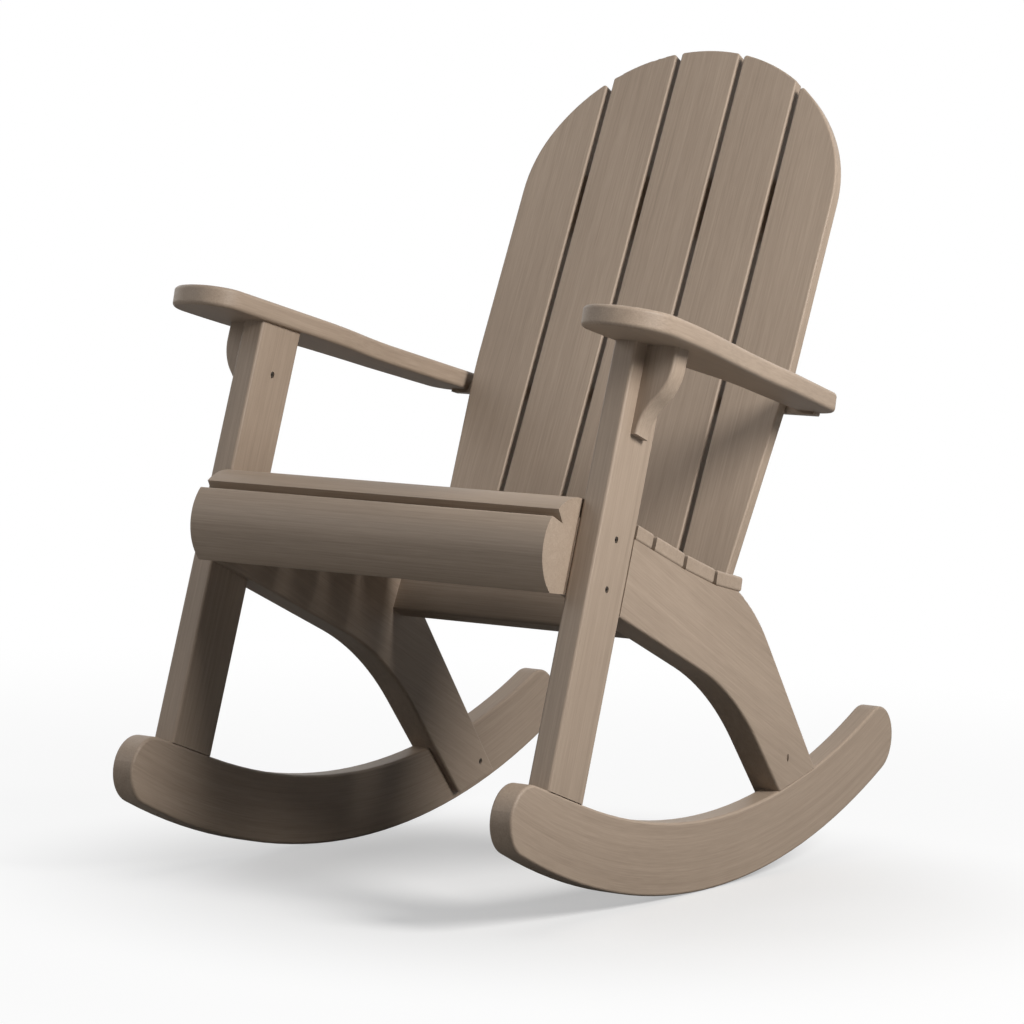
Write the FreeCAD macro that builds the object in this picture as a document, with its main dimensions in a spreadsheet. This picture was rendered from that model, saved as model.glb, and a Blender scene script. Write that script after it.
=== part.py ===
import FreeCAD, Part
import os
import re
import Sketcher

# Rocking lounge chair of flat boards. X runs across the chair, with the sitter's left positive.
# Y runs from the front (negative) to the back, Z is up and the floor is Z = 0.

doc = FreeCAD.newDocument("rocking_chair")
sheet = doc.addObject("Spreadsheet::Sheet", "Sizes")
sizes = {
    # Boards and overall width
    "half_width": 280,
    "board": 30,
    "rail_board": 40,
    "centre_shift": -15.5,
    "rest_roll": 5,
    "side_play": 2,
    "edge_round": 3.5,

    # Rockers
    "rocker_radius": 1180,
    "rocker_depth": 89,
    "rocker_straight": 121,
    "rocker_nose": 41.3,
    "rocker_rear_angle": 19.5,

    # Front posts
    "post_lean": 21.8,
    "post_width": 84,
    "post_setback": 8,

    # Seat line along the top of the side rails, measured from the rear lower corner of the second slat
    "seat_y": -254,
    "seat_z": 449,
    "seat_slope": 23,
    "slat_width": 75,
    "slat_gap": 9,
    "slat_board": 19,
    "mid_slope": 20.5,
    "rear_slope": 15,
    "rear_slat_width": 68,
    "post_notch_play": 3,

    # Side rails with their rear legs
    "rail_under_y": -330,
    "rail_under_z": 378,
    "rail_under_slope": 25,
    "knee_y": -36.8,
    "knee_z": 241.3,
    "knee_round": 450,
    "foot_front": 88,
    "foot_rear": 189,
    "leg_back_y": 52,
    "leg_back_z": 293,
    "lap_front_z": 22,
    "lap_rear_z": 37,

    # Front slat and seat apron
    "front_slat_board": 24,
    "nose_round": 70,
    "nose_y": -416,
    "nose_z": 514,
    "nose_low_y": -407,
    "nose_low_z": 496,
    "apron_lip_y": -430,
    "apron_lip_z": 508,
    "apron_low_y": -436,
    "apron_low_z": 419,
    "apron_round": 60,

    # Cross rails
    "cross_board": 28,
    "cross_rail_low": 10,
    "lower_rail_height": 66,
    "lower_rail_low": -208,
    "batten_board": 25,
    "batten_height": 80,
    "batten_centre": 415,
    "batten_in": 28,

    # Back slats
    "back_y": 107.6,
    "back_z": 468,
    "back_lean": 28.67,
    "back_slat_width": 88,
    "back_pitch": 95.8,
    "back_low": -194,
    "back_taper_from": 155,
    "back_taper_in": 24,
    "back_taper_round": 600,
    "slat_corner": 4,
    "slat_round": 2.5,
    "arch_centre": 420,
    "arch_rise": 217,
    "arch_side_round": 190,

    # Armrests
    "arm_height": 620.9,
    "arm_slope": 15.11,
    "arm_board": 25,
    "arm_front": -402,
    "arm_inside_front": 36,
    "arm_inside_bend": 38,
    "arm_inside_from": -170,
    "arm_inside_hollow": 26,
    "arm_inside_to": 10,
    "arm_inside_round": 678,
    "arm_inside_rear": 33,
    "arm_overhang": 70,
    "arm_wide_from": -331.4,
    "arm_bend_in": 10.5,
    "arm_bend_from": -176.1,
    "arm_bend_round": 1149,
    "arm_hollow_in": 29,
    "arm_hollow_from": 41.4,
    "arm_hollow_round": 2156,
    "arm_rear_in": 45,
    "arm_front_outer_round": 64,
    "arm_front_inner_round": 40,
    "arm_rear_round": 36,
    "arm_edge_round": 5,

    # Armrest brackets and the bar that joins both armrests behind the back slats
    "bracket_board": 31,
    "bracket_reach": 40,
    "bracket_toe": 8,
    "bracket_height": 110,
    "bracket_flat": 22,
    "bar_depth": 17.880752,
    "bar_lap": 12,
    "bar_proud": 4,
    "bar_over": -6,
    "bar_play": 0.5,

    # Screws and dowels
    "hole_play": 0.15,
    "tip_play": 1,
    "head_height": 3,
    "head_recess": 1,
    "head_radius": 4,
    "shank_radius": 2.2,
    "trim_head_radius": 2.4,
    "trim_shank_radius": 1.6,
    "dowel_radius": 4,
    "dowel_length": 34,
    "dowel_in_rail": 9,
    "side_screw_length": 34,
    "post_screw_high": 307,
    "post_screw_low": 247,
    "bracket_screw_up": 479,
    "lap_screw_y": 203,
    "lap_screw_z": 55,
    "toe_screw_y": 110,
    "toe_screw_z": 122,
    "toe_screw_inset": 5,
    "toe_screw_slant": 22,
    "toe_screw_length": 50,
    "toe_screw_mouth": 12,
    "long_screw_length": 92,
    "long_screw_depth": 42,
    "screw_spread": 20,
    "seat_screw_length": 46,
    "notched_screw_inset": 17,
    "arm_screw_length": 58,
    "arm_rear_screw_length": 22,
    "arm_rear_screw_in": 7,
    "arm_rear_screw_step": 11,
    "arm_rear_screw_back": 8,
    "back_screw_length": 38,
    "back_screw_low": -168,
    "bar_screw_rise": 3.6,
    "bar_screw_depth": 14,
    "bar_screw_length": 27,
    "batten_screw_length": 36,
    "apron_screw_length": 44,
    "apron_screw_up": 45,
    "apron_screw_near": 70,
    "apron_screw_far": 200,
    "slat_dowel_depth": 20,
    "slat_dowel_near": 60,
    "slat_dowel_far": 180,
    "dowel_low": 22,
    "dowel_high": 60,
    "back_dowel_low": 12,
    "back_dowel_high": 34,
}
for row, (name, value) in enumerate(sizes.items(), 1):
    sheet.set("A%d" % row, name)
    sheet.set("B%d" % row, str(value))
    sheet.setAlias("B%d" % row, name)
doc.recompute()


def bound(text):
    return re.sub(r"[a-z_]+", lambda m: "Sizes." + m.group() if m.group() in sizes else m.group(), text)


def number(text):
    return float(sheet.evalExpression(bound(text)))


# Frames across the chair's width: origin (Y, Z) and tilt. The first axis runs rearward, the second upward.
BASE = ("0", "0", "0")
FOOT_Y = "(rocker_depth - rocker_radius) * sin(post_lean)"
FOOT_Z = "(rocker_radius + (rocker_depth - rocker_radius) * cos(post_lean))"
FOOT = (FOOT_Y, FOOT_Z, "-post_lean")
SEAT = ("seat_y", "seat_z", "-seat_slope")
UNDER = ("rail_under_y", "rail_under_z", "-rail_under_slope")
ARM = ("0", "arm_height", "-arm_slope")
BACK = ("back_y", "back_z", "-back_lean")
BACK_FACE = ("back_y", "back_z", "90 - back_lean")
POST_FACE = (FOOT_Y, FOOT_Z, "90 - post_lean")


def at(frame, s, t):
    y = "(%s + (%s) * cos(%s) - (%s) * sin(%s))" % (frame[0], s, frame[2], t, frame[2])
    z = "(%s + (%s) * sin(%s) + (%s) * cos(%s))" % (frame[1], s, frame[2], t, frame[2])
    return y, z


def moved(frame, s, t, turn="0"):
    y, z = at(frame, s, t)
    return y, z, "(%s + %s)" % (frame[2], turn)


def reach(frame, s, other, lift="0"):
    # How far up the second axis of one frame, at s, the first axis of another frame is met.
    gap = "((%s) - (%s)) * sin(%s) - ((%s) - (%s)) * cos(%s)" % (
        frame[0], other[0], other[2], frame[1], other[1], other[2])
    turn = "((%s) - (%s))" % (frame[2], other[2])
    return "((%s - (%s) * sin(%s) + (%s)) / cos(%s))" % (gap, s, turn, lift, turn)


def piece(name):
    # The whole chair is drawn leaned back and then rolled forward on its rockers to where it comes to rest.
    body = doc.addObject("PartDesign::Body", name)
    body.Label = name
    body.AllowCompound = True
    body.Placement = FreeCAD.Placement(FreeCAD.Vector(), FreeCAD.Rotation(FreeCAD.Vector(1, 0, 0), 10))
    body.setExpression(".Placement.Rotation.Angle", bound("rest_roll"))
    body.setExpression(".Placement.Base.y", bound("centre_shift + rocker_radius * sin(rest_roll)"))
    body.setExpression(".Placement.Base.z", bound("rocker_radius * (1 - cos(rest_roll))"))
    return body


def sketch(body, role, frame, start):
    # role "side" draws (rearward, up) and starts at X = start; role "plan" draws (X, rearward).
    # Role "toe" is level at X = start, then turned about the rearward axis by the frame's tilt.
    side = role == "side"
    wanted = "YZ_Plane" if side else "XY_Plane"
    plane = [o for o in body.Origin.OriginFeatures if o.Role == wanted][0]
    sk = body.newObject("Sketcher::SketchObject", body.Label + "_sketch")
    sk.AttachmentSupport = [(plane, "")]
    sk.MapMode = "FlatFace"
    axis = {"side": (0, 0, 1), "plan": (1, 0, 0), "toe": (0, 1, 0)}[role]
    turned = FreeCAD.Rotation(FreeCAD.Vector(*axis), 10)
    sk.AttachmentOffset = FreeCAD.Placement(FreeCAD.Vector(), turned)
    if side:
        base = (frame[0], frame[1], start)
    elif role == "toe":
        base = (start, frame[0], frame[1])
    else:
        y, z = at(frame, "0", start)
        base = ("0", y, z)
    for letter, text in zip("xyz", base):
        if text != "0":
            sk.setExpression(".AttachmentOffset.Base." + letter, bound(text))
    sk.setExpression(".AttachmentOffset.Rotation.Angle", bound(frame[2]))
    return sk


def pin(sk, kind, index, where, text):
    c = sk.addConstraint(Sketcher.Constraint(kind, -1, 1, index, where, number(text)))
    sk.setExpression("Constraints[%d]" % c, bound(text))


def outline(sk, corners):
    # Each corner is (u, v) or (u, v, radius, bulge) where the arc runs on to the next corner.
    count = len(corners)
    spots = [FreeCAD.Vector(number(c[0]), number(c[1]), 0) for c in corners]
    ends = []
    for i in range(count):
        p = spots[i]
        q = spots[(i + 1) % count]
        if len(corners[i]) == 2:
            g = sk.addGeometry(Part.LineSegment(p, q))
            ends.append((g, 1, 2))
            continue
        radius = number(corners[i][2])
        bulge = corners[i][3]
        half = (q - p) * 0.5
        left = FreeCAD.Vector(-half.y, half.x, 0).normalize()
        rise = max(radius ** 2 - half.Length ** 2, 0) ** 0.5
        centre = p + half + left * rise * bulge
        ring = Part.Circle(centre, FreeCAD.Vector(0, 0, 1), radius)
        first, last = (p, q) if bulge > 0 else (q, p)
        g = sk.addGeometry(Part.ArcOfCircle(ring, ring.parameter(first), ring.parameter(last)))
        ends.append((g, 1, 2) if bulge > 0 else (g, 2, 1))
    for i in range(count):
        g, start, stop = ends[i]
        follow = ends[(i + 1) % count]
        sk.addConstraint(Sketcher.Constraint("Coincident", g, stop, follow[0], follow[1]))
        pin(sk, "DistanceX", g, start, corners[i][0])
        pin(sk, "DistanceY", g, start, corners[i][1])
    for i in range(count):
        if len(corners[i]) > 2:
            c = sk.addConstraint(Sketcher.Constraint("Radius", ends[i][0], number(corners[i][2])))
            sk.setExpression("Constraints[%d]" % c, bound(corners[i][2]))


def circles(sk, centres, radius):
    for u, v in centres:
        spot = FreeCAD.Vector(number(u), number(v), 0)
        g = sk.addGeometry(Part.Circle(spot, FreeCAD.Vector(0, 0, 1), number(radius)))
        pin(sk, "DistanceX", g, 3, u)
        pin(sk, "DistanceY", g, 3, v)
        c = sk.addConstraint(Sketcher.Constraint("Radius", g, number(radius)))
        sk.setExpression("Constraints[%d]" % c, bound(radius))


def pull(body, kind, sk, length, backward=False):
    feature = body.newObject("PartDesign::" + kind, kind)
    feature.Profile = sk
    if kind == "Pocket":
        backward = not backward
    feature.Reversed = backward
    feature.setExpression("Length", bound(length))
    sk.Visibility = False
    return feature


def board(name, frame, corners, start, length):
    body = piece(name)
    sk = sketch(body, "side", frame, start)
    outline(sk, corners)
    pull(body, "Pad", sk, length)
    return body


def cut(body, role, frame, start, corners, length, backward=False):
    sk = sketch(body, role, frame, start)
    outline(sk, corners)
    pull(body, "Pocket", sk, length, backward)


def ease(body, radius, wanted):
    body.recompute()
    doc.recompute()
    tip = body.Tip
    picked = ["Edge%d" % (i + 1) for i, e in enumerate(tip.Shape.Edges) if wanted(e)]
    if picked:
        feature = body.newObject("PartDesign::Fillet", "Fillet")
        feature.Base = (tip, picked)
        feature.setExpression("Radius", bound(radius))


def flat_x(*values):
    # Edges that lie wholly in one of the planes X = value.
    def test(edge):
        box = edge.BoundBox
        return any(abs(box.XMin - v) < 0.01 and abs(box.XMax - v) < 0.01 for v in values)
    return test


def along_x(least):
    def test(edge):
        box = edge.BoundBox
        return box.XLength > least and box.YLength < 0.01 and box.ZLength < 0.01
    return test


def drive(group, hosts, role, frame, start, centres, length, forward, kind="screw", sunk="0"):
    # Screws or dowels with their holes. The head seats in the plane at start and the tip points forward
    # along that plane's normal, or backward. The first host takes the recess of the head.
    shank = {"screw": "shank_radius", "trim": "trim_shank_radius", "dowel": "dowel_radius"}[kind]
    wide = {"screw": "head_radius", "trim": "trim_head_radius", "dowel": ""}[kind]
    sk = sketch(group, role, frame, start)
    circles(sk, centres, shank)
    pull(group, "Pad", sk, length, not forward)
    if wide:
        sk = sketch(group, role, frame, start)
        circles(sk, centres, wide)
        pull(group, "Pad", sk, "head_height", forward)
    for host in hosts:
        sk = sketch(host, role, frame, start)
        circles(sk, centres, shank + " + hole_play")
        pull(host, "Pocket", sk, length + " + tip_play", not forward)
    if wide:
        sk = sketch(hosts[0], role, frame, start)
        circles(sk, centres, wide + " + hole_play")
        pull(hosts[0], "Pocket", sk, "head_height + head_recess + " + sunk, forward)


# Rockers: a running arc below, a straight seat for the post, a full round nose and a round tail
R = "rocker_radius"
TOP = "(rocker_radius - rocker_depth)"
TAIL = "rocker_rear_angle"
NOSE = "(post_lean + atan(rocker_straight / (rocker_radius - rocker_depth + rocker_nose)) / 1 deg)"
nose_centre = at(FOOT, "-rocker_straight", "-rocker_nose")
half_turn = "((%s + post_lean) / 2)" % NOSE
rocker = [
    ("-%s * sin(%s)" % (R, NOSE), "%s - %s * cos(%s)" % (R, R, NOSE), R, 1),
    ("%s * sin(%s)" % (R, TAIL), "%s - %s * cos(%s)" % (R, R, TAIL), "rocker_depth / 2", 1),
    ("(%s - rocker_depth / 2) * sin(%s) + rocker_depth / 2 * cos(%s)" % (R, TAIL, TAIL),
     "%s - (%s - rocker_depth / 2) * cos(%s) + rocker_depth / 2 * sin(%s)" % (R, R, TAIL, TAIL),
     "rocker_depth / 2", 1),
    ("%s * sin(%s)" % (TOP, TAIL), "%s - %s * cos(%s)" % (R, TOP, TAIL), TOP, -1),
    ("foot_rear", "%s - sqrt(%s ^ 2 - foot_rear ^ 2)" % (R, TOP)),
    ("foot_front", "%s - sqrt(%s ^ 2 - foot_front ^ 2)" % (R, TOP), TOP, -1),
    (FOOT_Y, FOOT_Z),
    at(FOOT, "-rocker_straight", "0") + ("rocker_nose", 1),
    ("%s - rocker_nose * cos(%s)" % (nose_centre[0], half_turn),
     "%s + rocker_nose * sin(%s)" % (nose_centre[1], half_turn), "rocker_nose", 1),
]

post = [
    ("-post_setback", "0"),
    ("-post_setback", reach(FOOT, "-post_setback", ARM)),
    ("-post_setback - post_width", reach(FOOT, "-post_setback - post_width", ARM)),
    ("-post_setback - post_width", "0"),
]

# Seat slats: each slat has its own frame at its rear lower corner, chained rearward
second = SEAT
third = moved(SEAT, "slat_width + slat_gap", "0")
fourth = moved(third, "slat_gap", "0", "seat_slope - mid_slope")
fourth = moved(fourth, "slat_width", "0")
fifth = moved(fourth, "slat_gap", "0", "mid_slope - rear_slope")
fifth = moved(fifth, "rear_slat_width", "0")

# Side rails: the full board behind the post, and a thinner tongue that laps post and rocker
rear_plane = moved(FOOT, "-post_setback", "0", "90")
front_plane = moved(FOOT, "-post_setback - post_width", "0", "90")


def cross(frame, other):
    # Where the first axes of two frames meet.
    turn = "((%s) - (%s))" % (frame[2], other[2])
    s = "((((%s) - (%s)) * sin(%s) - ((%s) - (%s)) * cos(%s)) / sin(%s))" % (
        frame[0], other[0], frame[2], frame[1], other[1], frame[2], turn)
    return at(other, s, "0")


def local(frame, spot):
    y = "((%s) - (%s))" % (spot[0], frame[0])
    z = "((%s) - (%s))" % (spot[1], frame[1])
    s = "(%s * cos(%s) + %s * sin(%s))" % (y, frame[2], z, frame[2])
    t = "(%s * cos(%s) - %s * sin(%s))" % (z, frame[2], y, frame[2])
    return s, t


fourth_front = at(fourth, "-slat_width", "0")
fifth_front = at(fifth, "-rear_slat_width", "0")
foot_front = ("foot_front", "%s - sqrt(%s ^ 2 - foot_front ^ 2)" % (R, TOP))
foot_rear = ("foot_rear", "%s - sqrt(%s ^ 2 - foot_rear ^ 2)" % (R, TOP))
rail_end = at(fifth, "0", "0")
LEG_BACK = "atan((leg_back_z - (%s)) / (foot_rear - leg_back_y))" % foot_rear[1]
END_RISE = "((%s) - leg_back_z)" % rail_end[1]
END_RUN = "(leg_back_y - (%s))" % rail_end[0]
LEG_ROUND = "(sqrt(%s ^ 2 + %s ^ 2) / (2 * sin(%s - atan(%s / %s))))" % (
    END_RISE, END_RUN, LEG_BACK, END_RISE, END_RUN)
back_edge = [
    ("leg_back_y", "leg_back_z", LEG_ROUND, 1),
    at(fifth, "0", "0"),
    fifth_front,
    at(fourth, "0", "0"),
    fourth_front,
    at(third, "0", "0"),
]
LEG_FRONT = "atan((knee_z - (%s)) / (foot_front - knee_y))" % foot_front[1]
KNEE = "(knee_round * tan((%s - rail_under_slope * 1 deg) / 2))" % LEG_FRONT
knee_end = ("knee_y + %s * cos(%s)" % (KNEE, LEG_FRONT), "knee_z - %s * sin(%s)" % (KNEE, LEG_FRONT))
knee = [
    ("knee_y - %s * cos(rail_under_slope)" % KNEE, "knee_z + %s * sin(rail_under_slope)" % KNEE,
     "knee_round", -1),
    knee_end,
]
rail = knee + [foot_front, foot_rear] + back_edge + [
    cross(SEAT, rear_plane),
    cross(UNDER, rear_plane),
]
FRONT_RUN = "((foot_front - knee_y) / (knee_z - (%s)))" % foot_front[1]
REAR_RUN = "((foot_rear - leg_back_y) / (leg_back_z - (%s)))" % foot_rear[1]
tongue = knee + [
    ("knee_y + %s * (knee_z - lap_front_z)" % FRONT_RUN, "lap_front_z"),
    ("leg_back_y + %s * (leg_back_z - lap_rear_z)" % REAR_RUN, "lap_rear_z"),
] + back_edge + [
    cross(SEAT, front_plane),
    cross(UNDER, front_plane),
]


def upright(frame, t, corners):
    # The edges along a frame's second axis at plan corners, found by their middle at height t.
    places = []
    for x, s in corners:
        y, z = at(frame, s, t)
        places.append(FreeCAD.Vector(number(x), number(y), number(z)))
    return lambda edge: any(edge.CenterOfMass.distanceToPoint(p) < 0.5 for p in places)


def spots(frame, corners):
    # Edges along X that pass through the given corners of a frame.
    places = []
    for s, t in corners:
        y, z = at(frame, s, t)
        places.append((number(y), number(z)))

    def test(edge):
        c = edge.CenterOfMass
        if edge.BoundBox.YLength > 0.01 or edge.BoundBox.ZLength > 0.01:
            return False
        return any(abs(c.y - y) < 0.1 and abs(c.z - z) < 0.1 for y, z in places)
    return test


def level(frame, *values):
    # Edges that lie wholly at one of the given heights of a frame.
    base = FreeCAD.Vector(0, number(frame[0]), number(frame[1]))
    up = FreeCAD.Vector(0, -number("sin(%s)" % frame[2]), number("cos(%s)" % frame[2]))
    heights = [number(v) for v in values]

    def test(edge):
        marks = [v.Point for v in edge.Vertexes] + [edge.CenterOfMass]
        return any(all(abs((p - base).dot(up) - h) < 0.01 for p in marks) for h in heights)
    return test


def not_short(frame, height):
    # Every edge of a board except the short upright ones of its thickness.
    return level(frame, "0", height)


def both(one, other):
    return lambda edge: one(edge) and other(edge)


def along_post(edge):
    # The long edges of a post, not those of its foot and top.
    return edge.Length > number("post_width * 2")


def free_rail_edge(edge):
    # The rail's lower edges and the leg's front and back edges, not those under slats or at butted ends.
    c = edge.CenterOfMass
    foot = number(foot_rear[1]) + 2
    front = number(cross(SEAT, rear_plane)[0]) + 2
    up = number(local(UNDER, (str(c.y), str(c.z)))[1])
    under_slats = c.y < number(at(fifth, "0", "0")[0]) + 1 and up > number("board")
    return c.z > foot and c.y > front and not under_slats


def bracket_edges(turn):
    # The S-curved edges of a bracket.
    near = number("half_width") * turn

    def test(edge):
        box = edge.BoundBox
        off = min(abs(box.XMin - near), abs(box.XMax - near))
        return box.XLength > 10 and off < 40 and edge.Curve.TypeId.endswith("Circle")
    return test


# Rocker, post and side rail of each side
SIDES = (("left", "", 1), ("right", "-", -1))
boards = {}
for name, sign, turn in SIDES:
    outer = "half_width - board" if turn > 0 else "-half_width"
    inner = "half_width - rail_board" if turn > 0 else "board - half_width"
    faces = [turn * number(f) for f in ("half_width", "half_width - board", "half_width - rail_board")]
    rocker_body = board("rocker_" + name, BASE, rocker, outer, "board")
    ease(rocker_body, "edge_round", flat_x(*faces))
    post_body = board("front_post_" + name, FOOT, post, outer, "board")
    ease(post_body, "edge_round", both(flat_x(faces[0], faces[1]), along_post))
    rail_body = board("side_rail_" + name, BASE, tongue, inner, "rail_board - board")
    sk = sketch(rail_body, "side", BASE, outer)
    outline(sk, rail)
    pull(rail_body, "Pad", sk, "board")
    ease(rail_body, "edge_round", both(flat_x(faces[0], faces[2]), free_rail_edge))
    boards["rocker_" + name] = rocker_body
    boards["post_" + name] = post_body
    boards["rail_" + name] = rail_body

# Seat slats: plain boards, the second one notched round the posts
for name, frame, width in (("2", second, "slat_width"), ("3", third, "slat_width"),
                           ("4", fourth, "slat_width"), ("5", fifth, "rear_slat_width")):
    corners = [("-" + width, "0"), ("0", "0"), ("0", "slat_board"), ("-" + width, "slat_board")]
    slat = board("seat_slat_" + name, frame, corners, "-half_width", "half_width * 2")
    boards["slat_" + name] = slat
    if name == "2":
        notch = [
            ("-slat_width * 2", "0"),
            ("post_notch_play - post_setback", "0"),
            ("post_notch_play - post_setback", "rocker_radius"),
            ("-slat_width * 2", "rocker_radius"),
        ]
        depth = "board + post_notch_play"
        cut(slat, "side", FOOT, "half_width - board - post_notch_play", notch, depth + " + 1")
        cut(slat, "side", FOOT, "-half_width - 1", notch, depth + " + 1")
    ease(slat, "edge_round", not_short(frame, "slat_board"))

# Front slat: nosed over the apron, its rear edge level with the other slats' line
nose = local(SEAT, ("nose_y", "nose_z"))
rise = "(%s - front_slat_board + nose_round)" % nose[1]
crest = "(%s + sqrt(nose_round ^ 2 - %s ^ 2))" % (nose[0], rise)
ridge = cross(SEAT, front_plane)
front_slat = board("seat_front_slat", BASE, [
    ridge,
    at(SEAT, "-slat_width - slat_gap", "0"),
    at(SEAT, "-slat_width - slat_gap", "front_slat_board"),
    at(SEAT, crest, "front_slat_board") + ("nose_round", 1),
    ("nose_y", "nose_z"),
    ("nose_low_y", "nose_low_z"),
], "board + side_play - half_width", "(half_width - board - side_play) * 2")
ease(front_slat, "edge_round", spots(SEAT, [("-slat_width - slat_gap", "front_slat_board")]))

# Seat apron: flat back against the post fronts, full round front, and a lip that meets the front slat
apron = board("seat_apron", BASE, [
    cross(UNDER, front_plane),
    ridge,
    ("nose_low_y", "nose_low_z"),
    ("apron_lip_y", "apron_lip_z", "apron_round", 1),
    ("apron_low_y", "apron_low_z"),
], "board + side_play - half_width", "(half_width - board - side_play) * 2")
ease(apron, "edge_round", spots(BASE, [("apron_lip_y", "apron_lip_z"), ("apron_low_y", "apron_low_z")]))

# Cross rails between the side rails
INSIDE = "rail_board - half_width"
ACROSS = "(half_width - rail_board) * 2"
POST_FRONT = "-post_setback - post_width"
cross_low = "(%s + cross_rail_low)" % reach(FOOT, POST_FRONT, UNDER)
cross_rail = board("front_cross_rail", FOOT, [
    (POST_FRONT, cross_low),
    (POST_FRONT + " + cross_board", cross_low),
    (POST_FRONT + " + cross_board", reach(FOOT, POST_FRONT + " + cross_board", SEAT)),
    (POST_FRONT, reach(FOOT, POST_FRONT, SEAT)),
], INSIDE, ACROSS)
ease(cross_rail, "edge_round", spots(FOOT, [(POST_FRONT + " + cross_board", cross_low)]))
lower_rail = board("lower_back_rail", BACK, [
    ("-cross_board", "lower_rail_low"),
    ("0", "lower_rail_low"),
    ("0", "lower_rail_low + lower_rail_height"),
    ("-cross_board", "lower_rail_low + lower_rail_height"),
], INSIDE, ACROSS)
ease(lower_rail, "edge_round", along_x(number("half_width")))

# Batten near the top of the back
SPAN = "(back_pitch * 2 + back_slat_width / 2)"
BATTEN_HALF = "(%s - batten_in)" % SPAN
batten = board("upper_back_rail", BACK, [
    ("slat_board", "batten_centre - batten_height / 2"),
    ("slat_board + batten_board", "batten_centre - batten_height / 2"),
    ("slat_board + batten_board", "batten_centre + batten_height / 2"),
    ("slat_board", "batten_centre + batten_height / 2"),
], "-" + BATTEN_HALF, BATTEN_HALF + " * 2")
ease(batten, "edge_round", spots(BACK, [
    ("slat_board + batten_board", "batten_centre - batten_height / 2"),
    ("slat_board + batten_board", "batten_centre + batten_height / 2")]))

# Bar behind the back slats, half lapped into the underside of both armrests
BAR_HALF = "(half_width + bar_over)"
rear_face = moved(BACK, "slat_board", "0", "90")
play_face = moved(BACK, "slat_board - bar_play", "0", "90")
ARM_REAR = "(%s + bar_depth)" % local(ARM, cross(rear_face, ARM))[0]
bar = board("arm_cross_rail", BASE, [
    cross(rear_face, moved(ARM, "0", "-bar_proud")),
    at(ARM, ARM_REAR, "-bar_proud"),
    at(ARM, ARM_REAR, "bar_lap"),
    cross(rear_face, moved(ARM, "0", "bar_lap")),
], "-" + BAR_HALF, BAR_HALF + " * 2")
ease(bar, "edge_round", spots(ARM, [(ARM_REAR, "-bar_proud")]))

# Armrests: wide in front, drawn in on both edges by sweeping curves towards the back
ARM_WIDE = "(half_width + arm_overhang)"
ARM_REAR_OUTER = "(%s - arm_rear_in)" % ARM_WIDE
ARM_INNER_FRONT = "(half_width - arm_inside_front)"
ARM_INNER_REAR = "(half_width - arm_inside_rear)"
arm_pocket = [
    cross(play_face, moved(ARM, "0", "-bar_lap")),
    at(ARM, ARM_REAR + " + bar_lap", "-bar_lap"),
    at(ARM, ARM_REAR + " + bar_lap", "bar_lap"),
    cross(play_face, moved(ARM, "0", "bar_lap")),
]
for name, sign, turn in SIDES:
    arm = piece("armrest_" + name)
    sk = sketch(arm, "plan", ARM, "0")
    outline(sk, [
        (sign + ARM_INNER_FRONT, "arm_front"),
        (sign + ARM_WIDE, "arm_front"),
        (sign + ARM_WIDE, "arm_wide_from", "arm_bend_round", turn),
        (sign + "(%s - arm_bend_in)" % ARM_WIDE, "arm_bend_from", "arm_hollow_round", -turn),
        (sign + "(%s - arm_hollow_in)" % ARM_WIDE, "arm_hollow_from"),
        (sign + ARM_REAR_OUTER, ARM_REAR),
        (sign + ARM_INNER_REAR, ARM_REAR),
        (sign + "(half_width - arm_inside_hollow)", "arm_inside_to", "arm_inside_round", -turn),
        (sign + "(half_width - (arm_inside_hollow + arm_inside_bend) / 2)",
         "(arm_inside_from + arm_inside_to) / 2", "arm_inside_round", turn),
        (sign + "(half_width - arm_inside_bend)", "arm_inside_from"),
    ])
    pull(arm, "Pad", sk, "arm_board")
    for radius, x, s in (("arm_front_outer_round", ARM_WIDE, "arm_front"),
                         ("arm_front_inner_round", ARM_INNER_FRONT, "arm_front"),
                         ("arm_rear_round", ARM_REAR_OUTER, ARM_REAR)):
        ease(arm, radius, upright(ARM, "arm_board / 2", [(sign + x, s)]))
    ease(arm, "arm_edge_round", level(ARM, "0", "arm_board"))
    start = "-%s - bar_play" % BAR_HALF if turn < 0 else "half_width - rail_board"
    cut(arm, "side", BASE, start, arm_pocket, "bar_over + bar_play + rail_board")
    boards["arm_" + name] = arm

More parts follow.
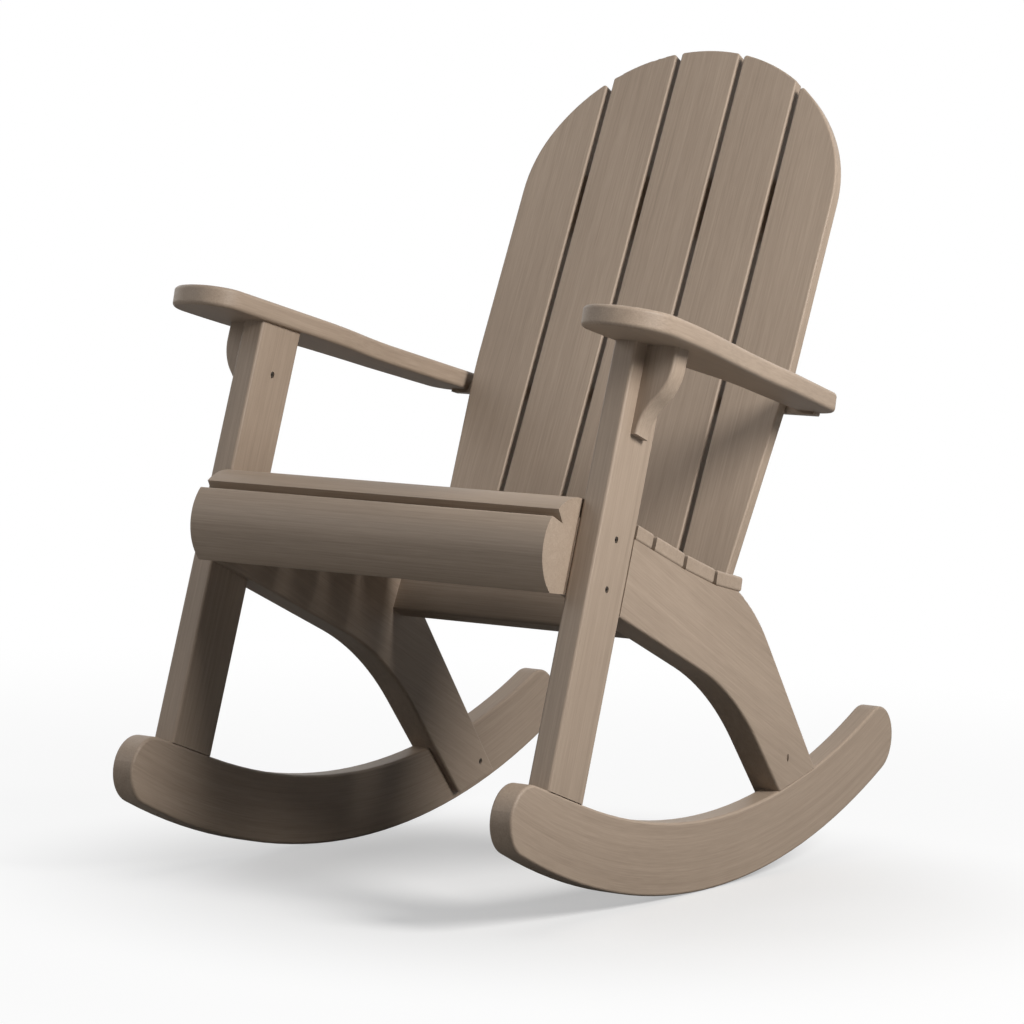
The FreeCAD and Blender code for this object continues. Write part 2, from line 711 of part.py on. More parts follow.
# Brackets under the armrests: plates parallel to the posts with an S-curved outer edge
POST_MID = "(-post_setback - post_width / 2)"
TOP_MID = reach(FOOT, POST_MID, ARM)
BRACKET_LOW = "(%s - bracket_height)" % TOP_MID
BRACKET_BEND = "(%s - bracket_flat)" % TOP_MID
BEND_WIDE = "(bracket_reach - bracket_toe)"
BEND_ROUND = "((%s ^ 2 + (bracket_height - bracket_flat) ^ 2) / (4 * %s))" % (BEND_WIDE, BEND_WIDE)
above_arm = [
    ("arm_front * 2", "0"),
    ("0", "0"),
    ("0", "bracket_height"),
    ("arm_front * 2", "bracket_height"),
]
for name, sign, turn in SIDES:
    bracket = piece("arm_bracket_" + name)
    near = sign + "half_width" if turn > 0 else "-half_width"
    far = sign + "(half_width + bracket_reach)"
    sk = sketch(bracket, "plan", POST_FACE, "post_setback + post_width / 2 - bracket_board / 2")
    outline(sk, [
        (near, BRACKET_LOW),
        (sign + "(half_width + bracket_toe)", BRACKET_LOW, BEND_ROUND, -turn),
        (sign + "(half_width + (bracket_reach + bracket_toe) / 2)",
         "(%s + %s) / 2" % (BRACKET_LOW, BRACKET_BEND), BEND_ROUND, turn),
        (far, BRACKET_BEND),
        (far, "%s + bracket_flat * 2" % TOP_MID),
        (near, "%s + bracket_flat * 2" % TOP_MID),
    ])
    pull(bracket, "Pad", sk, "bracket_board")
    start = "half_width - 1" if turn > 0 else "-half_width - bracket_reach - 1"
    cut(bracket, "side", ARM, start, above_arm, "bracket_reach + 2")
    ease(bracket, "edge_round", bracket_edges(turn))
    boards["bracket_" + name] = bracket

# Back slats: five boards under one three-centred arch, the outer two tapered towards the seat
SIDE_RUN = "(%s - arch_side_round)" % SPAN
SIDE_RISE = "(arch_rise - arch_side_round)"
DROP = "((%s ^ 2 - %s ^ 2) / (2 * %s))" % (SIDE_RUN, SIDE_RISE, SIDE_RISE)
CROWN = "(arch_rise + %s)" % DROP


def arch(x):
    return "(arch_centre - %s + sqrt(%s ^ 2 - (%s) ^ 2))" % (DROP, CROWN, x)


JOIN_X = "((%s - arch_side_round) * %s / (%s - arch_side_round))" % (SPAN, CROWN, CROWN)
JOIN_V = "(arch_centre - %s + %s * %s / (%s - arch_side_round))" % (DROP, DROP, CROWN, CROWN)
BACK_LOW_HALF = "(%s - back_taper_in)" % SPAN
TAPER = "atan(back_taper_in / (back_taper_from - back_low))"
EASE = "(back_taper_round * tan(%s / 2))" % TAPER
back_slats = []
for i in range(5):
    slat = piece("back_slat_%d" % (i + 1))
    middle = "(back_pitch * %d)" % (2 - i)
    sk = sketch(slat, "plan", BACK_FACE, "-slat_board")
    if i in (0, 4):
        sign, turn = ("", 1) if i == 0 else ("-", -1)
        inward = "(back_pitch * 2 - back_slat_width / 2)"
        corners = [
            (sign + inward, "back_low"),
            (sign + BACK_LOW_HALF, "back_low"),
            (sign + inward, arch(inward)),
        ]
        outline(sk, [
            (sign + inward, "back_low"),
            (sign + BACK_LOW_HALF, "back_low"),
            (sign + "(%s - %s * sin(%s))" % (SPAN, EASE, TAPER),
             "back_taper_from - %s * cos(%s)" % (EASE, TAPER), "back_taper_round", turn),
            (sign + SPAN, "back_taper_from + " + EASE),
            (sign + SPAN, "arch_centre", "arch_side_round", turn),
            (sign + JOIN_X, JOIN_V, CROWN, turn),
            (sign + inward, arch(inward)),
        ])
    else:
        right = "(%s + back_slat_width / 2)" % middle
        left = "(%s - back_slat_width / 2)" % middle
        corners = [
            (left, "back_low"),
            (right, "back_low"),
            (right, arch(right)),
            (left, arch(left)),
        ]
        outline(sk, [
            (left, "back_low"),
            (right, "back_low"),
            (right, arch(right), CROWN, 1),
            (left, arch(left)),
        ])
    pull(slat, "Pad", sk, "slat_board")
    ease(slat, "slat_corner", upright(BACK_FACE, "-slat_board / 2", corners))
    ease(slat, "slat_round", level(BACK_FACE, "0", "-slat_board"))
    back_slats.append(slat)

# Side screws: posts and rails, posts and brackets, rail tongues and rockers
side_screws = piece("side_screws")
for name, sign, turn in SIDES:
    ahead = turn > 0
    post_body = boards["post_" + name]
    rail_body = boards["rail_" + name]
    start = sign + "(half_width - head_height - head_recess)"
    drive(side_screws, [post_body, rail_body], "side", FOOT, start,
          [(POST_MID, "post_screw_high"), (POST_MID, "post_screw_low")], "side_screw_length", not ahead)
    start = sign + "(half_width - board + head_height + head_recess)"
    drive(side_screws, [post_body, boards["bracket_" + name]], "side", FOOT, start,
          [(POST_MID, "bracket_screw_up")], "side_screw_length", ahead)
    start = sign + "(half_width - rail_board + head_height + head_recess)"
    drive(side_screws, [rail_body, boards["rocker_" + name]], "side", BASE, start,
          [("lap_screw_y", "lap_screw_z")], "side_screw_length", ahead)

# Slanted screws through each leg foot into the rocker
toe_screws = piece("leg_toe_screws")
for name, sign, turn in SIDES:
    frame = ("toe_screw_y", "toe_screw_z", sign + "toe_screw_slant")
    drive(toe_screws, [boards["rail_" + name], boards["rocker_" + name]], "toe", frame,
          sign + "(half_width - toe_screw_inset)", [("0", "0")], "toe_screw_length", False,
          "trim", "toe_screw_mouth")

# Long screws from below through the rockers into the posts
long_screws = piece("rocker_post_screws")
for name, sign, turn in SIDES:
    x = sign + "(half_width - board / 2)"
    places = [(x, POST_MID + " - screw_spread"), (x, POST_MID + " + screw_spread")]
    drive(long_screws, [boards["rocker_" + name], boards["post_" + name]], "plan", FOOT,
          "long_screw_depth - rocker_depth", places, "long_screw_length", True, "screw", "long_screw_depth")

# Seat slat screws
seat_screws = piece("seat_screws")
RAIL_MID = "(half_width - rail_board / 2)"
rails = [boards["rail_left"], boards["rail_right"]]
for name, frame, width in (("2", second, "notched_screw_inset * 2"), ("3", third, "slat_width"),
                           ("4", fourth, "slat_width"), ("5", fifth, "rear_slat_width")):
    places = [(RAIL_MID, "-%s / 2" % width), ("-" + RAIL_MID, "-%s / 2" % width)]
    drive(seat_screws, [boards["slat_" + name]] + rails, "plan", frame,
          "slat_board - head_height - head_recess", places, "seat_screw_length", False)

# Screws down through the armrests into posts and brackets, and shorter ones into the rear bar
arm_screws = piece("arm_screws")
arm_rear_screws = piece("arm_rear_screws")
ARM_HEAD = "arm_board - head_height - head_recess"
post_top = local(ARM, at(FOOT, POST_MID, TOP_MID))[0]
for name, sign, turn in SIDES:
    arm = boards["arm_" + name]
    x = sign + "(half_width - board / 2)"
    places = [(x, post_top + " - screw_spread"), (x, post_top + " + screw_spread"),
              (sign + "(half_width + bracket_reach / 2)", post_top)]
    drive(arm_screws, [arm, boards["post_" + name], boards["bracket_" + name]], "plan", ARM,
          ARM_HEAD, places, "arm_screw_length", False)
    inmost = ARM_INNER_REAR + " + arm_rear_screw_in"
    s = ARM_REAR + " - arm_rear_screw_back"
    places = [(sign + "(" + inmost + ")", s), (sign + "(" + inmost + " + arm_rear_screw_step)", s)]
    drive(arm_rear_screws, [arm, bar], "plan", ARM, ARM_HEAD, places, "arm_rear_screw_length", False)

# Screws from behind into the back slats
back_screws = piece("back_slat_screws")
batten_screws = piece("back_batten_screws")
bar_mid = local(BACK, cross(rear_face, moved(ARM, "0", "(bar_lap - bar_proud) / 2 + bar_screw_rise")))[1]
for i, slat in enumerate(back_slats):
    x = "(back_pitch * %d)" % (2 - i)
    drive(back_screws, [slat, lower_rail], "plan", BACK_FACE, "head_height + head_recess - slat_board",
          [(x, "back_screw_low")], "back_screw_length", True)
    drive(back_screws, [bar, slat], "plan", BACK_FACE, "-slat_board - bar_screw_depth",
          [(x, bar_mid)], "bar_screw_length", True, "screw", "bar_screw_depth")
    drive(batten_screws, [batten, slat], "plan", BACK_FACE,
          "head_height + head_recess - slat_board - batten_board",
          [(x, "batten_centre")], "batten_screw_length", True)

# Screws from behind the front cross rail into the apron
apron_screws = piece("apron_screws")
apron_up = reach(FOOT, POST_FRONT, UNDER) + " + apron_screw_up"
across = ("-apron_screw_far", "-apron_screw_near", "apron_screw_near", "apron_screw_far")
drive(apron_screws, [cross_rail, apron], "plan", POST_FACE,
      "post_setback + post_width - cross_board + head_height + head_recess",
      [(x, apron_up) for x in across], "apron_screw_length", True)

# Dowels: cross rail ends into the side rails, and the front slat onto the front cross rail
dowels = piece("dowels")
for name, sign, turn in SIDES:
    start = sign + "(half_width - rail_board + dowel_in_rail - dowel_length)"
    s = POST_FRONT + " + cross_board / 2"
    drive(dowels, [cross_rail, boards["rail_" + name]], "side", FOOT, start,
          [(s, cross_low + " + dowel_low"), (s, cross_low + " + dowel_high")],
          "dowel_length", turn > 0, "dowel")
    drive(dowels, [lower_rail, boards["rail_" + name]], "side", BACK, start,
          [("-cross_board / 2", "lower_rail_low + back_dowel_low"),
           ("-cross_board / 2", "lower_rail_low + back_dowel_high")], "dowel_length", turn > 0, "dowel")
rail_top = at(FOOT, POST_FRONT + " + cross_board / 2", reach(FOOT, POST_FRONT + " + cross_board / 2", SEAT))
s = local(SEAT, rail_top)[0]
places = [(x, s) for x in ("-slat_dowel_far", "-slat_dowel_near", "slat_dowel_near", "slat_dowel_far")]
drive(dowels, [cross_rail, front_slat], "plan", SEAT, "-slat_dowel_depth", places,
      "dowel_length", True, "dowel")

# Check every object, then write one file per piece
doc.recompute()
bad = [o.Name for o in doc.Objects if "Invalid" in o.State or "Error" in o.State]
if bad:
    raise RuntimeError("objects not built: " + ", ".join(bad))
os.makedirs("parts", exist_ok=True)
for body in doc.Objects:
    if body.TypeId == "PartDesign::Body":
        if body.Shape.isNull() or not body.Shape.isValid():
            raise RuntimeError("bad shape: " + body.Label)
        body.Shape.exportStep("parts/" + body.Label + ".step")
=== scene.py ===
import math
import bmesh
import bpy
from mathutils import Matrix, Vector


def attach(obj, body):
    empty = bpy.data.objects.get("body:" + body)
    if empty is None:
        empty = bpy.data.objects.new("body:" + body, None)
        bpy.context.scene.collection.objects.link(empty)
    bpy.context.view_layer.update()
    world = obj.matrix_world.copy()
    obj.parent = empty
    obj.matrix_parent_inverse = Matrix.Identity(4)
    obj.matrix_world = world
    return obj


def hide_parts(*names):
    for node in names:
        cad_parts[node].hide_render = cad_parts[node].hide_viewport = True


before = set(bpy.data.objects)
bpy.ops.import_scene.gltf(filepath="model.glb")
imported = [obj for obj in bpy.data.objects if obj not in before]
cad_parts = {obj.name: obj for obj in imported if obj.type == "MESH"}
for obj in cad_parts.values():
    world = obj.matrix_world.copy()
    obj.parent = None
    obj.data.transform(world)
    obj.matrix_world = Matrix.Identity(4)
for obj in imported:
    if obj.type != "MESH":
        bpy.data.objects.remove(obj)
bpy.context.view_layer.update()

# Rockers: two runners sawn from thick planks of recycled plastic, with round noses and tails and
# soft long edges, screwed up into the posts. Their undersides are arcs about one line across the
# chair. The brushed grain bends round that line and keeps its scale at the grain radius.
ARC_CENTRE_Y, ARC_CENTRE_Z = -0.0155, 1.18
GRAIN_RADIUS = 1.14

# Sizes of the lumber's marks in metres, each across, along and through the board
LINE_SIZE = (0.0021, 0.26, 0.0021)
DASH_SIZE = (0.0014, 0.042, 0.0014)
STREAK_SIZE = (0.008, 0.7, 0.008)
CLOUD_SIZE = (0.10, 0.35, 0.10)
DASH_SHARE, STREAK_SHARE, CLOUD_SHARE = 0.5, 0.25, 0.22
LOW_GREY, HIGH_GREY = 0.35, 0.65
DARK_TAUPE, PALE_TAUPE = (0.262, 0.200, 0.150), (0.380, 0.297, 0.228)


def feed(socket, given):
    # The socket takes another node's output, or a plain value.
    if isinstance(given, bpy.types.NodeSocket):
        socket.id_data.links.new(given, socket)
    else:
        socket.default_value = given


def reckon(tree, operation, first, second):
    # One step of arithmetic on two greys or numbers.
    node = tree.nodes.new("ShaderNodeMath")
    node.operation = operation
    feed(node.inputs[0], first)
    feed(node.inputs[1], second)
    return node.outputs[0]


def spread(tree, value, from_low, from_high, low, high):
    # The stretch between from_low and from_high becomes the one between low and high.
    node = tree.nodes.new("ShaderNodeMapRange")
    for name, given in (("Value", value), ("From Min", from_low), ("From Max", from_high),
                        ("To Min", low), ("To Max", high)):
        feed(node.inputs[name], given)
    return node.outputs["Result"]


def marks(tree, vector, size, detail, rough):
    # Soft noise whose blotches are as long, in metres, as the three sizes given.
    mapping = tree.nodes.new("ShaderNodeMapping")
    mapping.vector_type = "TEXTURE"
    feed(mapping.inputs["Vector"], vector)
    feed(mapping.inputs["Scale"], size)
    noise = tree.nodes.new("ShaderNodeTexNoise")
    feed(noise.inputs["Vector"], mapping.outputs["Vector"])
    feed(noise.inputs["Scale"], 1.0)
    feed(noise.inputs["Detail"], detail)
    feed(noise.inputs["Roughness"], rough)
    return noise.outputs["Fac"]


def mixed(tree, first, second, share):
    # A share of the second grey and the rest of the first.
    node = tree.nodes.new("ShaderNodeMix")
    node.data_type = "FLOAT"
    feed(node.inputs["Factor"], share)
    feed(node.inputs["A"], first)
    feed(node.inputs["B"], second)
    return node.outputs["Result"]


def tint(shader, grey, low, dark, high, pale):
    # Greys below low show the dark colour and greys above high the pale one.
    ramp = shader.id_data.nodes.new("ShaderNodeValToRGB")
    dark_stop, pale_stop = ramp.color_ramp.elements
    dark_stop.position, dark_stop.color = low, (*dark, 1)
    pale_stop.position, pale_stop.color = high, (*pale, 1)
    feed(ramp.inputs["Fac"], grey)
    feed(shader.inputs["Base Color"], ramp.outputs["Color"])


def emboss(shader, grey, strength, depth):
    # The pale parts stand up by the depth given, in metres.
    bump = shader.id_data.nodes.new("ShaderNodeBump")
    feed(bump.inputs["Strength"], strength)
    feed(bump.inputs["Distance"], depth)
    feed(bump.inputs["Height"], grey)
    feed(shader.inputs["Normal"], bump.outputs["Normal"])


def new_finish(name):
    # A fresh material with its node tree, its shader and its Object coordinates.
    mat = bpy.data.materials.new(name)
    mat.use_nodes = True
    tree = mat.node_tree
    coords = tree.nodes.new("ShaderNodeTexCoord")
    return mat, tree, tree.nodes["Principled BSDF"], coords.outputs["Object"]


def bent(tree, vector):
    # Board coordinates across, along and through a runner that bends round the X axis.
    apart = tree.nodes.new("ShaderNodeSeparateXYZ")
    feed(apart.inputs["Vector"], vector)
    across, rearward, up = apart.outputs
    angle = reckon(tree, "ARCTAN2", rearward, reckon(tree, "MULTIPLY", up, -1.0))
    flat = tree.nodes.new("ShaderNodeCombineXYZ")
    feed(flat.inputs["X"], rearward)
    feed(flat.inputs["Y"], up)
    radius = tree.nodes.new("ShaderNodeVectorMath")
    radius.operation = "LENGTH"
    feed(radius.inputs[0], flat.outputs["Vector"])
    runner = tree.nodes.new("ShaderNodeCombineXYZ")
    feed(runner.inputs["X"], across)
    feed(runner.inputs["Y"], reckon(tree, "MULTIPLY", angle, GRAIN_RADIUS))
    feed(runner.inputs["Z"], radius.outputs["Value"])
    return runner.outputs["Vector"]


def brushed_lumber(name, place, lay, curved=False, tone=1.0):
    # Taupe poly lumber: long brushed lines along the board's second axis, soft cloudy streaks,
    # satin sheen. place shifts the pattern from board to board, lay turns it to the board.
    # A tone below one darkens both colours: painted shade for boards that sit in shadow.
    mat, tree, shader, coords = new_finish(name)
    board = tree.nodes.new("ShaderNodeMapping")
    board.vector_type = "TEXTURE"
    feed(board.inputs["Vector"], coords)
    feed(board.inputs["Location"], place)
    feed(board.inputs["Rotation"], lay)
    vector = board.outputs["Vector"]
    if curved:
        vector = bent(tree, vector)
    lines = marks(tree, vector, LINE_SIZE, 2.0, 0.55)
    dashes = marks(tree, vector, DASH_SIZE, 2.0, 0.6)
    streaks = marks(tree, vector, STREAK_SIZE, 3.0, 0.55)
    clouds = marks(tree, vector, CLOUD_SIZE, 2.0, 0.5)
    fine = mixed(tree, lines, dashes, DASH_SHARE)
    grain = mixed(tree, mixed(tree, fine, streaks, STREAK_SHARE), clouds, CLOUD_SHARE)
    tint(shader, grain, LOW_GREY, [tone * part for part in DARK_TAUPE],
         HIGH_GREY, [tone * part for part in PALE_TAUPE])
    feed(shader.inputs["Roughness"], spread(tree, fine, LOW_GREY, HIGH_GREY, 0.44, 0.56))
    feed(shader.inputs["Specular IOR Level"], 0.3)
    emboss(shader, fine, 0.25, 0.0003)
    return mat


def finish_with(node, mat):
    # The CAD node keeps its shape and takes the material in each of its slots.
    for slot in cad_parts[node].material_slots:
        slot.material = mat


for side, shift in (("left", 0.0), ("right", 0.37)):
    centre = (shift, ARC_CENTRE_Y, ARC_CENTRE_Z)
    finish_with("rocker_" + side, brushed_lumber("rocker_grain_" + side, centre, (0, 0, 0), curved=True))

# Front posts: straight planks that lean back and stand on the rockers, each held from below by
# two long screws. Their grain runs up the post.
POST_LEAN = 16.8
POST_LAY = (math.radians(90 - POST_LEAN), 0, 0)
for side, shift in (("left", 0.13), ("right", 0.61)):
    lumber = brushed_lumber("post_grain_" + side, (shift, 0.2, 0.4), POST_LAY)
    finish_with("front_post_" + side, lumber)

# Side rails: one wide board each, sawn to a sloped seat rail that curves down into the rear
# leg. A thinner tongue laps behind the post and the rocker and is screwed to both.
RAIL_GRAIN_SLOPE = 24
RAIL_LAY = (math.radians(-RAIL_GRAIN_SLOPE), 0, 0)
for side, shift in (("left", 0.29), ("right", 0.83)):
    lumber = brushed_lumber("rail_grain_" + side, (shift, 0.1, 0.7), RAIL_LAY)
    finish_with("side_rail_" + side, lumber)

# Cross rails: hidden boards that tie the two sides together, one behind the apron and one in
# front of the back's foot, both doweled into the side rails. Painted shade darkens their colour.
ACROSS_LAY = (0, 0, math.radians(90))
# Painted shade: the hidden rails' colours are scaled down to this share
PAINTED_SHADE_TONE = 0.9
finish_with("front_cross_rail",
            brushed_lumber("front_rail_grain", (0.2, 0.9, 0.1), ACROSS_LAY, tone=PAINTED_SHADE_TONE))
finish_with("lower_back_rail",
            brushed_lumber("lower_rail_grain", (0.5, 0.3, 0.6), ACROSS_LAY, tone=PAINTED_SHADE_TONE))

# Seat: a full round apron below a nosed front slat, then four plain slats screwed down on the
# side rails with gaps for rain, the first of them notched round the posts.
finish_with("seat_apron", brushed_lumber("apron_grain", (0.15, 0.2, 0.3), ACROSS_LAY))
finish_with("seat_front_slat", brushed_lumber("front_slat_grain", (0.4, 0.7, 0.2), ACROSS_LAY))
for n in (2, 3, 4, 5):
    lumber = brushed_lumber("seat_grain_%d" % n, (0.31 * n, 0.17 * n, 0.05), ACROSS_LAY)
    finish_with("seat_slat_%d" % n, lumber)

# Back: five slats under one arch, with a batten behind them near the top and a bar behind them
# at the height of the armrests. The slats' grain runs up the back, the batten's and bar's across.
BACK_LEAN = 23.67
BACK_LAY = (math.radians(90 - BACK_LEAN), 0, 0)
for n in (1, 2, 3, 4, 5):
    lumber = brushed_lumber("back_grain_%d" % n, (0.27 * n, 0.43 * n, 0.1), BACK_LAY)
    finish_with("back_slat_%d" % n, lumber)
finish_with("upper_back_rail", brushed_lumber("batten_grain", (0.8, 0.5, 0.9), ACROSS_LAY))
finish_with("arm_cross_rail", brushed_lumber("bar_grain", (0.6, 0.1, 0.4), ACROSS_LAY))

# Brackets: S-curved blocks screwed to the outside of the posts, their flat tops under the
# armrests. Their grain runs up the post.
for side, shift in (("left", 0.71), ("right", 0.19)):
    lumber = brushed_lumber("bracket_grain_" + side, (shift, 0.8, 0.5), POST_LAY)
    finish_with("arm_bracket_" + side, lumber)

# Armrests: wide boards sawn to a soft sweep, screwed down on the posts and brackets and lapped
# over the bar behind the back. Their grain runs from front to back.
ARM_SLOPE = 10.11
ARM_LAY = (math.radians(-ARM_SLOPE), 0, 0)
for side, shift in (("left", 0.47), ("right", 0.93)):
    lumber = brushed_lumber("arm_grain_" + side, (shift, 0.6, 0.2), ARM_LAY)
    finish_with("armrest_" + side, lumber)

# Dowels: turned hardwood pegs, glued into the ends of the cross rails and, at the front, up into
# the nosed slat, so that these joints show no metal.
PORE_SIZE = (0.012, 0.0006, 0.0006)
DARK_WOOD, PALE_WOOD = (0.40, 0.27, 0.15), (0.62, 0.46, 0.29)


def turned_hardwood(name):
    mat, tree, shader, coords = new_finish(name)
    pores = marks(tree, coords, PORE_SIZE, 3.0, 0.6)
    tint(shader, pores, LOW_GREY, DARK_WOOD, HIGH_GREY, PALE_WOOD)
    feed(shader.inputs["Roughness"], 0.7)
    emboss(shader, pores, 0.4, 0.0002)
    return mat


finish_with("dowels", turned_hardwood("dowel_hardwood"))

# Screws: dark coated steel deck screws with domed heads and six-lobed drives, sunk below the
# faces of the boards. Thin slanted ones hold the legs' feet to the rockers. Each finished screw
# goes where the frame has its plain one.
HEAD_HEIGHT = 0.003
THREAD_PITCH = 0.0026
THREAD_PROFILE = ((0.86, -0.22), (1.16, 0.0), (0.86, 0.22))
TURN_STEP = 1.1
MOTTLE_SIZE = (0.0011, 0.0011, 0.0011)
DARK_STEEL, PALE_STEEL = (0.060, 0.049, 0.040), (0.115, 0.096, 0.080)
STEEL_LOW_GREY, STEEL_HIGH_GREY = 0.38, 0.68
SAME_PLACE = 0.00001
RIM_SLACK = 0.001


def coated_steel(name):
    mat, tree, shader, coords = new_finish(name)
    mottle = marks(tree, coords, MOTTLE_SIZE, 3.0, 0.6)
    tint(shader, mottle, STEEL_LOW_GREY, DARK_STEEL, STEEL_HIGH_GREY, PALE_STEEL)
    feed(shader.inputs["Metallic"], 0.6)
    feed(shader.inputs["Roughness"], spread(tree, mottle, LOW_GREY, HIGH_GREY, 0.42, 0.62))
    emboss(shader, mottle, 0.3, 0.0001)
    return mat


SCREW_COATING = coated_steel("screw_coating")


def keep_only(*wanted):
    # These alone are selected, the first of them active.
    bpy.ops.object.select_all(action="DESELECT")
    for obj in wanted:
        obj.select_set(True)
    bpy.context.view_layer.objects.active = wanted[0]


def draw_down(depth, factor):
    # The selected disc is drawn down by depth, then its new rim is scaled.
    bpy.ops.mesh.extrude_region_move(TRANSFORM_OT_translate={"value": (0, 0, -depth)})
    bpy.ops.transform.resize(value=(factor, factor, 1.0), center_override=(0, 0, 0))


def finish_mesh():
    # Every face of the mesh in edit mode is turned outwards, and edit mode ends.
    bpy.ops.mesh.select_all(action="SELECT")
    bpy.ops.mesh.normals_make_consistent(inside=False)
    bpy.ops.object.mode_set(mode="OBJECT")


def deck_screw(head, shank, length):
    # One screw with its head's top at the origin and its point down: the radii of head and
    # shank, and the length below the head.
    rim = head * 0.78
    low_end = shank * 0.92
    steps = [(head * 0.05, head * 0.90), (head * 0.08, head * 0.97), (head * 0.12, head),
             (HEAD_HEIGHT - head * 0.25, shank), (length * 0.9, low_end),
             (length * 0.1, low_end * 0.12)]
    bpy.ops.object.select_all(action="DESELECT")
    bpy.ops.mesh.primitive_circle_add(vertices=32, radius=rim, fill_type="NGON")
    screw = bpy.context.active_object
    screw.name = "deck_screw"
    bpy.ops.object.mode_set(mode="EDIT")
    bpy.ops.mesh.select_all(action="SELECT")
    for drop, radius in steps:
        draw_down(drop, radius / rim)
        rim = radius
    finish_mesh()

    # Six-lobed drive, cut into the head
    lobe, mouth, floor_depth = head * 0.46, head * 0.2, HEAD_HEIGHT * 0.55
    bpy.ops.object.select_all(action="DESELECT")
    bpy.ops.mesh.primitive_circle_add(vertices=36, radius=lobe, fill_type="NGON")
    bit = bpy.context.active_object
    for corner in bit.data.vertices:
        pull = 1 + 0.13 * math.cos(6 * math.atan2(corner.co.y, corner.co.x))
        corner.co = (corner.co.x * pull, corner.co.y * pull, mouth)
    bpy.ops.object.mode_set(mode="EDIT")
    bpy.ops.mesh.select_all(action="SELECT")
    draw_down(mouth + floor_depth, 0.86)
    finish_mesh()
    keep_only(screw)
    drive = screw.modifiers.new("drive", "BOOLEAN")
    drive.operation = "DIFFERENCE"
    drive.solver = "EXACT"
    drive.object = bit
    bpy.ops.object.modifier_apply(modifier="drive")
    bpy.data.objects.remove(bit)

    # Rolled thread on the lower part of the shank: its profile counts outwards in shank radii
    # and upwards in pitches
    thread_top = -HEAD_HEIGHT - length * 0.34
    bpy.ops.object.select_all(action="DESELECT")
    bpy.ops.mesh.primitive_circle_add(vertices=3, radius=shank * 0.2, fill_type="NOTHING")
    ridge = bpy.context.active_object
    for corner, (out, up) in zip(ridge.data.vertices, THREAD_PROFILE):
        corner.co = (shank * out, 0, thread_top + up * THREAD_PITCH)
    winding = ridge.modifiers.new("winding", "SCREW")
    winding.axis = "Z"
    winding.angle = math.tau
    winding.screw_offset = -THREAD_PITCH
    winding.iterations = int(length * 0.55 / THREAD_PITCH)
    winding.steps = 12
    winding.render_steps = 12
    bpy.ops.object.modifier_apply(modifier="winding")
    bpy.ops.object.mode_set(mode="EDIT")
    bpy.ops.mesh.select_all(action="SELECT")
    bpy.ops.mesh.fill_holes(sides=3)
    finish_mesh()
    keep_only(screw, ridge)
    bpy.ops.object.join()
    bpy.ops.object.shade_smooth_by_angle(angle=math.radians(32))
    screw.data.materials.append(SCREW_COATING)
    return screw


def middle_of(points):
    return sum(points, Vector()) / len(points)


def loose_solids(node):
    # The corner points of each separate solid in a CAD node.
    plain = bmesh.new()
    plain.from_mesh(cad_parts[node].data)
    bmesh.ops.remove_doubles(plain, verts=plain.verts, dist=SAME_PLACE)
    waiting = dict.fromkeys(plain.verts)
    solids = []
    while waiting:
        solid = [waiting.popitem()[0]]
        for corner in solid:
            for edge in corner.link_edges:
                other = edge.other_vert(corner)
                if other in waiting:
                    del waiting[other]
                    solid.append(other)
        solids.append([corner.co.copy() for corner in solid])
    plain.free()
    return solids


def plain_screw(points):
    # The plain screw with these corners: the middle of its head's top, the way its head faces,
    # the radii of head and shank, and the length below the head. Most corners are at the head,
    # so those farthest from the middle of all are the rim of the tip.
    middle = middle_of(points)
    farthest = max((point - middle).length for point in points)
    rim = [point for point in points if (point - middle).length > farthest - RIM_SLACK]
    tip = middle_of(rim)
    facing = (middle - tip).normalized()
    heights = [(point - tip).dot(facing) for point in points]
    head = max((point - tip - facing * height).length for point, height in zip(points, heights))
    shank = (rim[0] - tip).length
    whole = max(heights)
    return tip + facing * whole, facing, head, shank, whole - HEAD_HEIGHT


models = {}


def drive_in(node):
    # Copies of the finished screws go to the places of the node's plain ones and stand for the
    # node as one piece. Screws of one size share one model.
    driven = []
    for n, points in enumerate(loose_solids(node)):
        top, facing, *sizes = plain_screw(points)
        size = tuple(round(measure, 4) for measure in sizes)
        if size not in models:
            models[size] = deck_screw(*size)
        keep_only(models[size])
        bpy.ops.object.duplicate()
        screw = bpy.context.active_object
        aim = facing.to_track_quat("Z", "Y").to_matrix().to_4x4()
        screw.matrix_world = Matrix.Translation(top) @ aim @ Matrix.Rotation(TURN_STEP * n, 4, "Z")
        bpy.ops.object.transform_apply(location=True, rotation=True, scale=True)
        driven.append(screw)
    keep_only(*driven)
    bpy.ops.object.join()
    group = bpy.context.active_object
    group.name = "driven_" + node
    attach(group, "root")
    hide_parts(node)


for node in ("side_screws", "leg_toe_screws", "rocker_post_screws", "seat_screws", "apron_screws",
             "back_slat_screws", "back_batten_screws", "arm_screws", "arm_rear_screws"):
    drive_in(node)
for model in models.values():
    bpy.data.objects.remove(model)

# Studio: a long lens to the chair's left front and a little low, and five round soft lamps. The
# strong one stands on the chair's left, and the weak ones fill its shadows.
camera = bpy.data.cameras.new("studio_camera")
camera.lens = 127.58
camera.sensor_width = 36.0
camera.clip_end = 60.0
stand = bpy.data.objects.new("studio_camera", camera)
stand.location = (2.339, -3.967, 0.7379)
stand.rotation_euler = (math.radians(86.3706), math.radians(-2.5862), math.radians(31.0833))
bpy.context.scene.collection.objects.link(stand)
bpy.context.scene.camera = stand

CHAIR_MIDDLE = (0, 0, 0.5)


